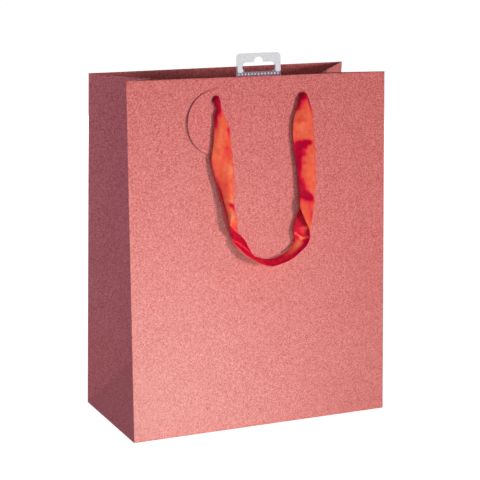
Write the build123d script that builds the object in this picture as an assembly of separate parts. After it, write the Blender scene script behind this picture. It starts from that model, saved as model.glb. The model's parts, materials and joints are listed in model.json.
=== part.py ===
from build123d import *
import math
import os

# A paper gift bag standing open. Millimetres, +Z up. The origin is the middle of the base,
# the front panel faces -Y, and the two side gussets are folded inwards.

# the paper bag
bag_width = 260.0
bag_height = 326.0
bag_depth = 125.0
panel_lean = 21.0  # how far the front and back panels lean in at the rim
crease_drop = 4.4  # how far the top of a gusset crease sits below the rim
paper = 0.4
layer_gap = 0.15  # glue and air between the layers of twisted paper
fold_gap = 1.0  # room left at a fold, so that two panels don't share a corner

# the turned-in rim and the card inside it
hem_height = 35.0
hem_side_gap = 6.0
rim_board_height = 33.0
rim_board = 0.8

# the bottom
outer_flap_reach = 77.0
tuck_flap_reach = 62.0
tuck_flap_taper = 45.0
seam_flap_width = 18.0
seam_flap_length = 284.0
base_board = 1.2
base_board_gap = 4.0
base_board_side_gap = 5.5
base_board_corner = 4.0

# the ribbon handles, in panel coordinates: across, up the panel and out of it
hole_spacing = 88.0
hole_below_rim = 19.0
hole_radius = 3.0
neck_radius = 2.5
pivot_out = 3.2  # the handle turns about a line this far in front of the panel
knuckle_radius = 2.0
knuckle_length = 6.0
ribbon = 0.5
ribbon_width = 20.5
knot_radius = 5.0
tail_length = 24.0
tail_width = 16.0

# the round tag, which hangs on the left ribbon
tag_radius = 30.0
tag_hole_radius = 3.5
tag_drop = 20.5  # from the tag's hole to its middle
tag_shift = 2.0
tag_paper = 0.5
tag_gap = 0.3

# the clear hanging tab inside the front rim
tab_width = 44.5
tab_film = 0.25
tab_foot_height = 22.0
tab_fold_above_rim = 1.2
tab_fold_gap = 0.25
tab_height = 20.2
tab_corner = 4.0
slot_width = 32.5
slot_height = 8.6
slot_bump_width = 9.4
slot_bump_height = 5.0
slot_above_fold = 3.4
tab_glue = 0.1

half_width = bag_width / 2
half_depth = bag_depth / 2
panel_length = math.hypot(bag_height, panel_lean)
hole_up = panel_length - hole_below_rim
hole_across = hole_spacing / 2
hem_inside = 2 * paper + rim_board  # depth of the hem's inner face below the panel's face
front_face = Plane(
    origin=(0, -half_depth, 0), x_dir=(1, 0, 0), z_dir=(0, -bag_height, panel_lean)
)


def to_back(shape):
    """The same piece on the back panel."""
    return Rotation(0, 0, 180) * shape


def slab(low_x, high_x, low_y, high_y, low_z, high_z):
    """A box between two corners."""
    centre = Pos((low_x + high_x) / 2, (low_y + high_y) / 2, (low_z + high_z) / 2)
    return centre * Box(high_x - low_x, high_y - low_y, high_z - low_z)


def plate(points, low_z, high_z):
    """A flat plate with this outline between two levels."""
    outline = Wire.make_polygon([Vector(x, y, low_z) for x, y in points])
    return extrude(Face(outline), amount=high_z - low_z, dir=(0, 0, 1))


def pin(x, y, low_z, high_z, radius):
    """A round bar or hole along the local Z axis."""
    middle = Pos(x, y, (low_z + high_z) / 2)
    return middle * Cylinder(radius, high_z - low_z)


def ribbon_holes(low_z, high_z):
    """The two holes that a handle's ends go through, in panel coordinates."""
    left = pin(-hole_across, hole_up, low_z, high_z, hole_radius)
    right = pin(hole_across, hole_up, low_z, high_z, hole_radius)
    return left + right


def panel():
    """The front panel. Its foot is trimmed so that the leaning sheet stops at the floor."""
    foot = paper * panel_lean / bag_height
    sheet = slab(-half_width, half_width, foot, panel_length, -paper, 0)
    return front_face * (sheet - ribbon_holes(-paper - 1, 1))


def rim_card():
    """The card strip that the turned-in rim is folded over."""
    top = panel_length - paper
    strip = slab(
        hem_side_gap - half_width,
        half_width - hem_side_gap,
        top - rim_board_height,
        top,
        -paper - rim_board,
        -paper,
    )
    return front_face * (strip - ribbon_holes(-hem_inside, 1))


def panel_hem():
    """The rim of a panel, folded over the card and glued down inside."""
    low_x = hem_side_gap - half_width
    high_x = half_width - hem_side_gap
    bottom = panel_length - hem_height
    inner = slab(low_x, high_x, bottom, panel_length, -hem_inside, paper - hem_inside)
    over = slab(
        low_x, high_x, panel_length - paper, panel_length, paper - hem_inside, -paper
    )
    return front_face * (inner + over - ribbon_holes(-hem_inside - 1, 0))


def gusset_points():
    """The corners of one half of the right gusset: foot, apex, rim corner and crease top.

    The paper doesn't stretch, so the apex of the bottom triangle is half the bag's depth
    from the corner fold, and so is the top of the crease.
    """
    side_y = half_depth - half_depth * panel_lean / panel_length
    side_z = half_depth * bag_height / panel_length
    apex_z = (side_y**2 + side_z**2) / (2 * side_z)
    apex_inset = math.sqrt(half_depth**2 - apex_z**2)
    rim_y = half_depth - panel_lean
    crease_inset = math.sqrt(half_depth**2 - rim_y**2 - crease_drop**2)
    foot = Vector(half_width, -half_depth, 0)
    apex = Vector(half_width - apex_inset, 0, apex_z)
    rim = Vector(half_width, -rim_y, bag_height)
    crease = Vector(half_width - crease_inset, 0, bag_height - crease_drop)
    return foot, apex, rim, crease


def on_gusset(along, up):
    """A point on the right gusset's front half: along from the corner, and up from the foot."""
    foot, apex, rim, crease = gusset_points()
    low = foot + (apex - foot) * along
    high = rim + (crease - rim) * along
    return low + (high - low) * up


def twisted_plate(first, last, low, high, depth):
    """Thin paper on the gusset between two folds, this far inside the outer face."""
    rings = []
    for up in (low, high):
        start = on_gusset(first, up)
        end = on_gusset(last, up)
        rise = on_gusset(first, high) - on_gusset(first, low)
        inwards = rise.cross(end - start).normalized()
        corners = [
            start + inwards * depth,
            end + inwards * depth,
            end + inwards * (depth + paper),
            start + inwards * (depth + paper),
        ]
        rings.append(Wire.make_polygon(corners))
    return Solid.make_loft(rings, ruled=True)


def gusset_half():
    """The front half of the right gusset, above its bottom triangle."""
    start = fold_gap / half_depth
    return twisted_plate(start, 1, fold_gap / bag_height, 1, 0)


def gusset_hem():
    """The rim of a gusset half, turned down inside."""
    start = hem_side_gap / half_depth
    low = 1 - hem_height / bag_height
    return twisted_plate(start, 1 - start / 4, low, 1, paper + layer_gap)


def gusset_triangle():
    """The triangle at the foot of the right gusset, pushed in by the folded bottom."""
    foot, apex, _, _ = gusset_points()
    outwards = Vector(apex.Z, 0, half_width - apex.X)
    face = Plane(origin=(half_width, 0, 0), x_dir=(0, 1, 0), z_dir=outwards)
    height = (apex - Vector(half_width, 0, 0)).length
    trim = 1.5 * fold_gap
    points = [
        (trim - half_depth + fold_gap, fold_gap),
        (half_depth - trim - fold_gap, fold_gap),
        (0, height - trim),
    ]
    return face * plate(points, -paper, 0)


def to_left(shape):
    """The same piece on the left side."""
    return mirror(shape, about=Plane.YZ)


def to_rear_half(shape):
    """The same piece on the rear half of a gusset."""
    return mirror(shape, about=Plane.XZ)


def seam_flap():
    """The glue flap that closes the sheet, inside the back panel at its left fold."""
    edge = half_width - hem_side_gap / 2
    bottom = hem_side_gap + fold_gap
    strip = slab(
        edge - seam_flap_width,
        edge,
        bottom,
        seam_flap_length,
        -2 * paper - layer_gap,
        -paper - layer_gap,
    )
    return to_back(front_face * strip)


def bottom_flap(level):
    """A flap across the bottom, folded in from the front panel."""
    half_length = half_width - 2 * fold_gap
    start = fold_gap / 2 + paper - half_depth
    return slab(
        -half_length, half_length, start, start + outer_flap_reach, level, level + paper
    )


def tuck_flap():
    """The right-hand flap, tucked in above the other two."""
    edge = half_width - 2 * fold_gap
    start = half_depth - 2 * fold_gap
    end = start - tuck_flap_reach * math.tan(math.radians(tuck_flap_taper / 2))
    points = [
        (edge, -start),
        (edge, start),
        (edge - tuck_flap_reach, end),
        (edge - tuck_flap_reach, -end),
    ]
    return plate(points, 2 * paper, 3 * paper)


def base_card():
    """The loose card that stiffens the bottom."""
    length = bag_width - 2 * base_board_side_gap
    depth = bag_depth - 2 * base_board_gap
    level = 3 * paper + layer_gap
    card = Pos(0, 0, level + base_board / 2) * Box(length, depth, base_board)
    return fillet(card.edges().filter_by(Axis.Z), base_board_corner)


def ribbon_ring(centre, ahead, width, turn):
    """The cross-section of a ribbon: turn 0 lies flat on the panel, 90 stands on its edge."""
    side = Vector(0, 0, 1).cross(ahead).normalized()
    angle = math.radians(turn)
    across = side * math.cos(angle) + Vector(0, 0, math.sin(angle))
    through = ahead.normalized().cross(across)
    edge = across * (width / 2)
    skin = through * (ribbon / 2)
    return [centre - edge + skin, centre + edge + skin, centre + edge - skin, centre - edge - skin]


def strip_through(rings):
    """A closed strip through four-cornered rings, with each side split into triangles.

    The two broad sides are split along the same diagonal, which keeps a twisted strip's thickness.
    """
    faces = [Face(Wire.make_polygon(rings[0])), Face(Wire.make_polygon(rings[-1]))]
    for ring, following in zip(rings, rings[1:]):
        for n in range(4):
            other = (n + 1) % 4
            if n < 2:
                halves = [
                    [ring[n], ring[other], following[other]],
                    [ring[n], following[other], following[n]],
                ]
            else:
                halves = [
                    [ring[n], ring[other], following[n]],
                    [ring[other], following[other], following[n]],
                ]
            faces.extend(Face(Wire.make_polygon(half)) for half in halves)
    return Solid(Shell(faces))


def handle():
    """The ribbon loop, hanging down in front of the panel. It stands on its edge at the bottom."""
    stops = [
        # across, below the holes, out of the panel, width, turn
        (-hole_across, 1, 2.6, 6, 0),
        (-hole_across, 6, 1.7, 7, 0),
        (-43.5, 19.5, 1.6, 14, 0),
        (-42.5, 39.5, 1.6, ribbon_width, 0),
        (-41, 59.5, 1.8, ribbon_width, 0),
        (-39, 79.5, 3.5, ribbon_width, 10),
        (-35, 98.5, 7.5, ribbon_width, 35),
        (-29, 114.5, 10.5, ribbon_width, 60),
        (-20, 129.5, 11.5, ribbon_width, 80),
        (-9, 141.5, 11.6, ribbon_width, 90),
        (5, 148.5, 11.6, ribbon_width, 90),
        (19, 149.5, 11.6, ribbon_width, 90),
        (31, 144.5, 11.6, ribbon_width, 90),
        (38.5, 133.5, 11.5, ribbon_width, 80),
        (42, 118.5, 10.5, ribbon_width, 60),
        (43, 101.5, 7.5, ribbon_width, 35),
        (43, 81.5, 3.5, ribbon_width, 10),
        (43, 59.5, 1.8, ribbon_width, 0),
        (43.5, 39.5, 1.6, ribbon_width, 0),
        (hole_across, 19.5, 1.6, 14, 0),
        (hole_across, 6, 1.7, 7, 0),
        (hole_across, 1, 2.6, 6, 0),
    ]
    middles = [Vector(across, hole_up - below, out) for across, below, out, _, _ in stops]
    rings = []
    for n, (_, _, _, width, turn) in enumerate(stops):
        ahead = middles[min(n + 1, len(stops) - 1)] - middles[max(n - 1, 0)]
        flat_ahead = Vector(ahead.X, ahead.Y, 0)
        rings.append(ribbon_ring(middles[n], flat_ahead, width, turn))
    loop = strip_through(rings)
    for across in (-hole_across, hole_across):
        knuckle = Rotation(0, 90, 0) * Cylinder(knuckle_radius, knuckle_length)
        loop = loop + Pos(across, hole_up, pivot_out) * knuckle
    return front_face * loop


def knot(across):
    """A knotted end inside the rim, with its neck through the hole and its cut tail."""
    level = -hem_inside - knot_radius - tab_glue
    neck_out = pivot_out - knuckle_radius - tag_gap
    ball = Pos(across, hole_up, level) * Sphere(knot_radius)
    neck = pin(across, hole_up, level, neck_out, neck_radius)
    top = hole_up - knot_radius / 2
    points = [
        (across - neck_radius, top),
        (across + neck_radius, top),
        (across + tail_width / 2, top - tail_length),
        (across - tail_width / 2, top - tail_length + neck_radius),
    ]
    tail = plate(points, level, level + ribbon)
    return front_face * (ball + neck + tail)


def gift_tag():
    """The round tag, hung on the left ribbon and lying on the panel under it."""
    middle_up = hole_up - tag_drop
    disc = pin(tag_shift - hole_across, middle_up, tag_gap, tag_gap + tag_paper, tag_radius)
    hole = pin(-hole_across, hole_up, 0, 2, tag_hole_radius)
    return front_face * (disc - hole)


def tab_levels():
    """The clear film's outer and inner depth, and the height of its fold."""
    outer = -hem_inside - tab_glue
    return outer, outer - tab_film, panel_length + tab_fold_above_rim


def tab_foot():
    """The part of the clear tab that is stuck down inside the rim."""
    outer, inner, fold = tab_levels()
    top = fold - tab_fold_gap
    return front_face * slab(
        -tab_width / 2, tab_width / 2, fold - tab_foot_height, top, inner, outer
    )


def tab_sticker():
    """The double-sided adhesive between the tab's foot and the hem."""
    outer, _, fold = tab_levels()
    return front_face * slab(
        fold_gap - tab_width / 2,
        tab_width / 2 - fold_gap,
        fold - tab_foot_height + fold_gap,
        panel_length - fold_gap,
        outer,
        outer + tab_glue,
    )


def hang_tab():
    """The clear tab above its perforated fold, with its slot for a shop's hook."""
    outer, inner, fold = tab_levels()
    film = slab(
        -tab_width / 2, tab_width / 2, fold + tab_fold_gap, fold + tab_height, inner, outer
    )
    top_edges = film.edges().filter_by(Axis.Z).group_by(Axis.Y)[-1]
    film = fillet(top_edges, tab_corner)
    low = fold + slot_above_fold
    slot = slab(-slot_width / 2, slot_width / 2, low, low + slot_height, inner - 1, outer + 1)
    slot = fillet(slot.edges().filter_by(Axis.Z), slot_height / 2 - 0.1)
    bump_radius = slot_bump_width / 2
    bump_up = low + slot_height + slot_bump_height - bump_radius
    bump = pin(0, bump_up, inner - 1, outer + 1, bump_radius)
    return front_face * (film - slot - bump)


def make_parts():
    """Every piece under its node name."""
    half = gusset_half()
    hem = gusset_hem()
    triangle = gusset_triangle()
    pieces = {
        "front_panel": panel(),
        "back_panel": to_back(panel()),
        "right_gusset_front": half,
        "right_gusset_rear": to_rear_half(half),
        "left_gusset_front": to_left(half),
        "left_gusset_rear": to_left(to_rear_half(half)),
        "right_gusset_triangle": triangle,
        "left_gusset_triangle": to_left(triangle),
        "side_seam_flap": seam_flap(),
        "bottom_outer_flap": to_back(bottom_flap(0)),
        "bottom_inner_flap": bottom_flap(paper),
        "right_tuck_flap": tuck_flap(),
        "left_tuck_flap": to_left(tuck_flap()),
        "base_board": base_card(),
        "front_hem": panel_hem(),
        "back_hem": to_back(panel_hem()),
        "right_front_hem": hem,
        "right_rear_hem": to_rear_half(hem),
        "left_front_hem": to_left(hem),
        "left_rear_hem": to_left(to_rear_half(hem)),
        "front_rim_board": rim_card(),
        "back_rim_board": to_back(rim_card()),
        "front_ribbon": handle(),
        "back_ribbon": to_back(handle()),
        "front_left_knot": knot(-hole_across),
        "front_right_knot": knot(hole_across),
        "back_left_knot": to_back(knot(hole_across)),
        "back_right_knot": to_back(knot(-hole_across)),
        "gift_tag": gift_tag(),
        "hang_tab": hang_tab(),
        "hang_tab_foot": tab_foot(),
        "hang_tab_sticker": tab_sticker(),
    }
    return pieces


os.makedirs("parts", exist_ok=True)
for name, piece in make_parts().items():
    export_step(piece, f"parts/{name}.step")
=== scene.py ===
import json
import math

import bpy
import numpy as np
from mathutils import Matrix, Vector

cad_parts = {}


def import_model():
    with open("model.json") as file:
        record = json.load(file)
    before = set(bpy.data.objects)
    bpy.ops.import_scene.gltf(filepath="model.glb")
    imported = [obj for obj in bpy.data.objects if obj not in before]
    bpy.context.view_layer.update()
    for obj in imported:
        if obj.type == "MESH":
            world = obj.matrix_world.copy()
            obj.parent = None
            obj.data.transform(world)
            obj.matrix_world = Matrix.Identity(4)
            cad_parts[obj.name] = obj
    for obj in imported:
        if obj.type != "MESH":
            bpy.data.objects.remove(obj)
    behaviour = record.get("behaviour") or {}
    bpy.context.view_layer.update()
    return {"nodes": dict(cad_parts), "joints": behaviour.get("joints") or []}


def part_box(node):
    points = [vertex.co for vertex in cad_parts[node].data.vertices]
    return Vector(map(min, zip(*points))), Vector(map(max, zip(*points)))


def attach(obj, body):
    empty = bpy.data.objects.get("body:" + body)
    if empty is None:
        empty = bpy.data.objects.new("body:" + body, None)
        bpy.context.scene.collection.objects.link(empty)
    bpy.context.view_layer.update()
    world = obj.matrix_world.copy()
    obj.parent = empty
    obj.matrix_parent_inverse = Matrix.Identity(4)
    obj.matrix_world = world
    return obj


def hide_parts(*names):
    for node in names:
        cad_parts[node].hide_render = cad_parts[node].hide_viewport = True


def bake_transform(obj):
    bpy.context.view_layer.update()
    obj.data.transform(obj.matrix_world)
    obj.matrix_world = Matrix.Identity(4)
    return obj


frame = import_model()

# A glitter paper gift bag. The frame gives its sizes in metres; shapes are worked out in
# millimetres, in the flat pattern of the paper or in panel coordinates (across, up, out).

MM = 0.001
joints = {joint["name"]: joint for joint in frame["joints"]}
nodes = frame["nodes"]

# sizes that the frame gives
panel_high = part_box("front_panel")[1]
half_width = panel_high.x / MM
half_depth = -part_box("front_panel")[0].y / MM
height = panel_high.z / MM
panel_normal = joints["tag_swing"]["axis"]
lean = height * panel_normal[2] / -panel_normal[1]
panel_length = math.hypot(height, lean)
apex_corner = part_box("right_gusset_triangle")
tag_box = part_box("gift_tag")
tab_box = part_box("hang_tab")

# the paper
paper = 0.4
fold_softness = 0.8  # half the width of a rounded fold
rim_stack = 1.6  # panel, card and hem together
plain_stack = 0.95  # two layers of paper, where there is no card
hem_height = 35.0
card_height = 33.0
card_side_gap = 6.5  # from the card's end to the panel's fold
hole_radius = 2.7  # of the punched ribbon holes
lip = 0.9  # how far the bottom folds run under the base

# the clear tab: its film, its slot, and the line of small cuts at its fold
film_thickness = 0.25
slot_width = 32.5
slot_low = 3.4
slot_shoulder = 12.0
slot_top = 17.0
slot_bump = 4.7
perforation_count = 13
perforation_pitch = 3.27
perforation_height = 328.4
# where a highlight is painted on the film beside the ends of its slot, in the frame's millimetres
slot_highlight_middle = 0.85
slot_highlight_across = 18.95
slot_highlight_up = 333.8
slot_highlight_half_width = 2.8
slot_highlight_half_height = 4.0

# how this bag stands: its rim corners and crease tops, moved from the frame's symmetric ones
rim_shift = {
    "front_left": (0.5, 0.0, 1.1),
    "front_right": (0.8, 0.0, 0.0),
    "back_right": (-2.5, -5.0, 0.6),
    "back_left": (-3.0, 4.0, -2.0),
}
left_crease = (-89.0, 5.5, 322.0)
right_crease = (85.5, -2.5, 322.0)


def panel_point(across, up, out, side=1):
    """A point in panel coordinates, in millimetres. The back panel is the front one turned round."""
    y = -half_depth + (up * lean - out * height) / panel_length
    z = (up * height + out * lean) / panel_length
    return np.stack(np.broadcast_arrays(side * across, side * y, z), -1)


def panel_up(point):
    """How far up the front panel a point of the frame is, in millimetres."""
    y, z = point[1] / MM, point[2] / MM
    return ((y + half_depth) * lean + z * height) / panel_length


hole_across = -joints["tag_swing"]["pos_m"][0] / MM
hole_up = panel_up(joints["tag_swing"]["pos_m"])


# ---------------------------------------------------------------- mesh helpers


def new_piece(name, points, faces, materials, face_materials=None, sharp=35):
    """A mesh piece from points in millimetres, smooth except where it folds sharply."""
    mesh = bpy.data.meshes.new(name)
    mesh.from_pydata((np.asarray(points) * MM).tolist(), [], faces)
    for material in materials:
        mesh.materials.append(material)
    if face_materials is not None:
        mesh.polygons.foreach_set("material_index", face_materials)
    mesh.polygons.foreach_set("use_smooth", [True] * len(faces))
    mesh.validate()
    mesh.update()
    mesh.set_sharp_from_angle(angle=math.radians(sharp))
    piece = bpy.data.objects.new(name, mesh)
    bpy.context.scene.collection.objects.link(piece)
    return piece


def evaluated_mesh(thing):
    """The mesh that an object's modifiers or curve settings make."""
    bpy.context.view_layer.update()
    graph = bpy.context.evaluated_depsgraph_get()
    return bpy.data.meshes.new_from_object(thing.evaluated_get(graph))


def satin_layers(piece, painted_sheen, u, v):
    """The ribbon's own data: its painted sheen and shade at each point, and its threads' run in metres."""
    stored = piece.data.attributes.new("painted_sheen", "FLOAT", "POINT")
    stored.data.foreach_set("value", np.clip(painted_sheen, 0, 1).astype(np.float32))
    layer = piece.data.uv_layers.new(name="ribbon")
    corners = np.zeros(len(piece.data.loops), int)
    piece.data.loops.foreach_get("vertex_index", corners)
    layer.data.foreach_set("uv", np.stack([u[corners], v[corners]], -1).reshape(-1))


def grid_faces(rows, columns, wrap_rows=False, split=None):
    """The quads of a grid whose columns close on themselves. split marks cells with a fold across."""
    faces = []
    places = []
    for row in range(rows if wrap_rows else rows - 1):
        for column in range(columns):
            after = (column + 1) % columns
            up = (row + 1) % rows
            a = row * columns + column
            b = row * columns + after
            c = up * columns + after
            d = up * columns + column
            cut = split(row, column) if split else 0
            if cut > 0:
                faces += [(a, b, c), (a, c, d)]
            elif cut < 0:
                faces += [(a, b, d), (b, c, d)]
            else:
                faces.append((a, b, c, d))
            places += [(row, column)] * (2 if cut else 1)
    return faces, places


def outward(points, faces):
    """The faces, turned over if they enclose a negative volume."""
    flat = np.asarray(points)
    total = 0.0
    for face in faces:
        p = flat[list(face)]
        for n in range(1, len(face) - 1):
            total += np.dot(p[0], np.cross(p[n], p[n + 1]))
    return faces if total > 0 else [tuple(reversed(face)) for face in faces]


def tube_along(path, radii, sides):
    """Points and faces of a closed, pleated tube along a path, with a radius at each point."""
    path = np.asarray(path, float)
    ahead = np.gradient(path, axis=0)
    ahead /= np.linalg.norm(ahead, axis=1)[:, None]
    side = np.cross(ahead[0], (0.3, 0.2, 0.9))
    points = []
    for centre, forward, radius in zip(path, ahead, radii):
        side = side - forward * np.dot(side, forward)
        side /= np.linalg.norm(side)
        other = np.cross(forward, side)
        for n in range(sides):
            angle = 2 * math.pi * n / sides
            pleat = 1 + 0.12 * math.cos(5 * angle)
            ring = side * math.cos(angle) + other * math.sin(angle)
            points.append(centre + ring * radius * pleat)
    faces, _ = grid_faces(len(path), sides)
    faces.append(tuple(range(sides))[::-1])
    faces.append(tuple((len(path) - 1) * sides + n for n in range(sides)))
    return points, outward(points, faces)


def smooth_rows(rows, steps):
    """A curve through each row of numbers, with the same number of steps between neighbours."""
    rows = np.asarray(rows, float)
    before = np.vstack([2 * rows[0] - rows[1], rows[:-1]])
    after = np.vstack([rows[1:], 2 * rows[-1] - rows[-2]])
    slopes = (after - before) / 2
    made = []
    for n in range(len(rows) - 1):
        for t in np.arange(steps) / steps:
            square, cube = t * t, t * t * t
            made.append(
                (2 * cube - 3 * square + 1) * rows[n]
                + (cube - 2 * square + t) * slopes[n]
                + (3 * square - 2 * cube) * rows[n + 1]
                + (cube - square) * slopes[n + 1]
            )
    made.append(rows[-1])
    return np.array(made)


# ---------------------------------------------------------------- materials


class Nodes:
    """A material's node tree, with short ways to add nodes and links."""

    def __init__(self, name):
        self.material = bpy.data.materials.new(name)
        self.material.use_nodes = True
        self.tree = self.material.node_tree
        self.shader = self.tree.nodes["Principled BSDF"]

    def add(self, kind, inputs=(), **settings):
        node = self.tree.nodes.new(kind)
        for key, value in settings.items():
            setattr(node, key, value)
        for key, value in dict(inputs).items():
            self.set(node.inputs[key], value)
        return node

    def set(self, socket, value):
        if isinstance(value, bpy.types.NodeSocket):
            self.tree.links.new(value, socket)
        else:
            socket.default_value = value

    def shade(self, **inputs):
        for key, value in inputs.items():
            self.set(self.shader.inputs[key.replace("_", " ")], value)
        return self.material

    def place(self):
        return self.add("ShaderNodeTexCoord").outputs["Object"]

    def noise(self, scale, detail=2.0, vector=None):
        inputs = {"Scale": scale, "Detail": detail, "Vector": vector or self.place()}
        return self.add("ShaderNodeTexNoise", inputs).outputs["Fac"]

    def ramp(self, value, low, high, low_out=0.0, high_out=1.0):
        inputs = {0: value, 1: low, 2: high, 3: low_out, 4: high_out}
        return self.add("ShaderNodeMapRange", inputs, clamp=True).outputs[0]

    def math(self, operation, first, second=0.0):
        return self.add("ShaderNodeMath", {0: first, 1: second}, operation=operation).outputs[0]

    def mix(self, amount, first, second):
        node = self.add("ShaderNodeMix", {"Factor": amount}, data_type="RGBA")
        self.set(node.inputs[6], first)
        self.set(node.inputs[7], second)
        return node.outputs[2]

    def vector(self, operation, first, second=None, scale=None):
        node = self.add("ShaderNodeVectorMath", operation=operation)
        self.set(node.inputs[0], first)
        if second is not None:
            self.set(node.inputs[1], second)
        if scale is not None:
            self.set(node.inputs["Scale"], scale)
        return node.outputs[0]

    def bump(self, height_value, distance, strength):
        inputs = {"Height": height_value, "Distance": distance, "Strength": strength}
        return self.add("ShaderNodeBump", inputs).outputs["Normal"]


# flake sizes in millimetres, and how much the flakes differ in brightness
coarse_flake = 0.75
fine_flake = 0.5
coarse_change = 0.58
fine_change = 0.14
flake_tilt = 0.36
glitter_tint = (0.78, 0.188, 0.170)
tag_tint = (0.79, 0.185, 0.170)


def flakes(tree, size):
    """Random numbers for each glitter flake of this size: its colour output as a vector."""
    inputs = {"Scale": 1 / size, "Randomness": 1.0, "Vector": tree.place()}
    return tree.add("ShaderNodeTexVoronoi", inputs).outputs["Color"]


def glitter_finish(tree, tint):
    """Salmon-red glitter: flakes with their own brightness and tilt over a mottled ground."""
    coarse = flakes(tree, coarse_flake * MM)
    fine = flakes(tree, fine_flake * MM)
    parts = tree.add("ShaderNodeSeparateXYZ", {0: coarse})
    fine_parts = tree.add("ShaderNodeSeparateXYZ", {0: fine})
    mottle = tree.ramp(tree.noise(42.0, 3.0), 0.3, 0.7, -0.03, 0.03)
    large = tree.ramp(parts.outputs[0], 0.0, 1.0, -coarse_change, coarse_change)
    small = tree.ramp(fine_parts.outputs[0], 0.0, 1.0, -fine_change, fine_change)
    level = tree.math("ADD", tree.math("ADD", large, small), mottle)
    # a bright flake is paler, not only lighter
    change = tree.vector("SCALE", (0.33, 1.0, 1.02), scale=level)
    colour = tree.vector("MULTIPLY", tint, tree.vector("ADD", (1.0, 1.0, 1.0), change))
    tilt = tree.vector("SUBTRACT", fine, (0.5, 0.5, 0.5))
    facing = tree.add("ShaderNodeNewGeometry").outputs["Normal"]
    tilted = tree.vector("ADD", facing, tree.vector("SCALE", tilt, scale=flake_tilt))
    normal = tree.vector("NORMALIZE", tilted)
    return colour, normal


def glitter_paper(name, tint):
    tree = Nodes(name)
    colour, normal = glitter_finish(tree, tint)
    return tree.shade(
        Base_Color=colour,
        Normal=normal,
        Roughness=0.45,
        Metallic=0.0,
        Specular_IOR_Level=0.5,
    )


def two_sided_paper():
    """Paper whose underside is glitter and whose upper side is plain."""
    tree = Nodes("bottom_flap_paper")
    colour, normal = glitter_finish(tree, glitter_tint)
    geometry = tree.add("ShaderNodeNewGeometry")
    upward = tree.add("ShaderNodeSeparateXYZ", {0: geometry.outputs["True Normal"]}).outputs[2]
    top = tree.ramp(upward, -0.2, 0.2)
    plain = tree.mix(tree.noise(900.0, 4.0), (0.76, 0.74, 0.70, 1), (0.86, 0.84, 0.80, 1))
    return tree.shade(Base_Color=tree.mix(top, colour, plain), Normal=normal, Roughness=0.6)


def plain_paper(name="plain_paper", low=(0.74, 0.72, 0.69, 1), high=(0.87, 0.85, 0.82, 1)):
    """Uncoated white paper, with its fibres."""
    tree = Nodes(name)
    fibres = tree.noise(1400.0, 5.0)
    colour = tree.mix(fibres, low, high)
    return tree.shade(Base_Color=colour, Roughness=0.85, Normal=tree.bump(fibres, 0.04 * MM, 0.5))


def greyboard():
    """Recycled card: grey-brown with darker and lighter specks."""
    tree = Nodes("greyboard")
    fibres = tree.noise(1100.0, 6.0)
    specks = tree.ramp(tree.noise(2600.0, 1.0), 0.64, 0.72)
    cloud = tree.noise(60.0, 3.0)
    base = tree.mix(cloud, (0.30, 0.28, 0.25, 1), (0.40, 0.375, 0.335, 1))
    colour = tree.mix(tree.math("MULTIPLY", specks, 0.6), base, (0.14, 0.12, 0.10, 1))
    return tree.shade(Base_Color=colour, Roughness=0.9, Normal=tree.bump(fibres, 0.08 * MM, 0.6))


def satin():
    """Red satin: a painted sheen attribute runs from crimson, its painted shade, to the orange of its
    painted highlight.
    """
    tree = Nodes("satin_ribbon")
    painted_sheen = tree.add("ShaderNodeAttribute", attribute_name="painted_sheen").outputs["Fac"]
    threads = tree.add("ShaderNodeUVMap", uv_map="ribbon").outputs["UV"]
    stretched = tree.vector("MULTIPLY", threads, (5200.0, 160.0, 0.0))
    fibres = tree.noise(1.0, 2.0, stretched)
    weft = tree.vector("MULTIPLY", threads, (260.0, 4200.0, 0.0))
    ribs = tree.noise(1.0, 1.0, weft)
    cloud = tree.noise(260.0, 4.0)
    uneven = tree.math("MULTIPLY", tree.math("SUBTRACT", fibres, 0.5), 0.30)
    soft = tree.math("MULTIPLY", tree.math("SUBTRACT", cloud, 0.5), 0.55)
    level = tree.math("ADD", painted_sheen, tree.math("ADD", uneven, soft))
    # the ramp turns the painted sheen into colour: crimson where shade is painted, orange where a highlight
    # is painted
    ramp = tree.add("ShaderNodeValToRGB", {0: level})
    stops = ramp.color_ramp.elements
    stops[0].position = 0.0
    stops[0].color = (0.47, 0.001, 0.030, 1)
    stops[1].position = 1.0
    stops[1].color = (1.0, 0.27, 0.13, 1)
    for position, colour in ((0.3, (0.85, 0.002, 0.052, 1)), (0.7, (0.96, 0.125, 0.062, 1))):
        stops.new(position).color = colour
    grain = tree.math("ADD", fibres, tree.math("MULTIPLY", ribs, 0.6))
    return tree.shade(
        Base_Color=ramp.outputs["Color"],
        Roughness=0.38,
        Specular_IOR_Level=0.4,
        Specular_Tint=(1.0, 0.22, 0.10, 1.0),
        Anisotropic=0.55,
        Normal=tree.bump(grain, 0.03 * MM, 0.55),
    )


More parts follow.
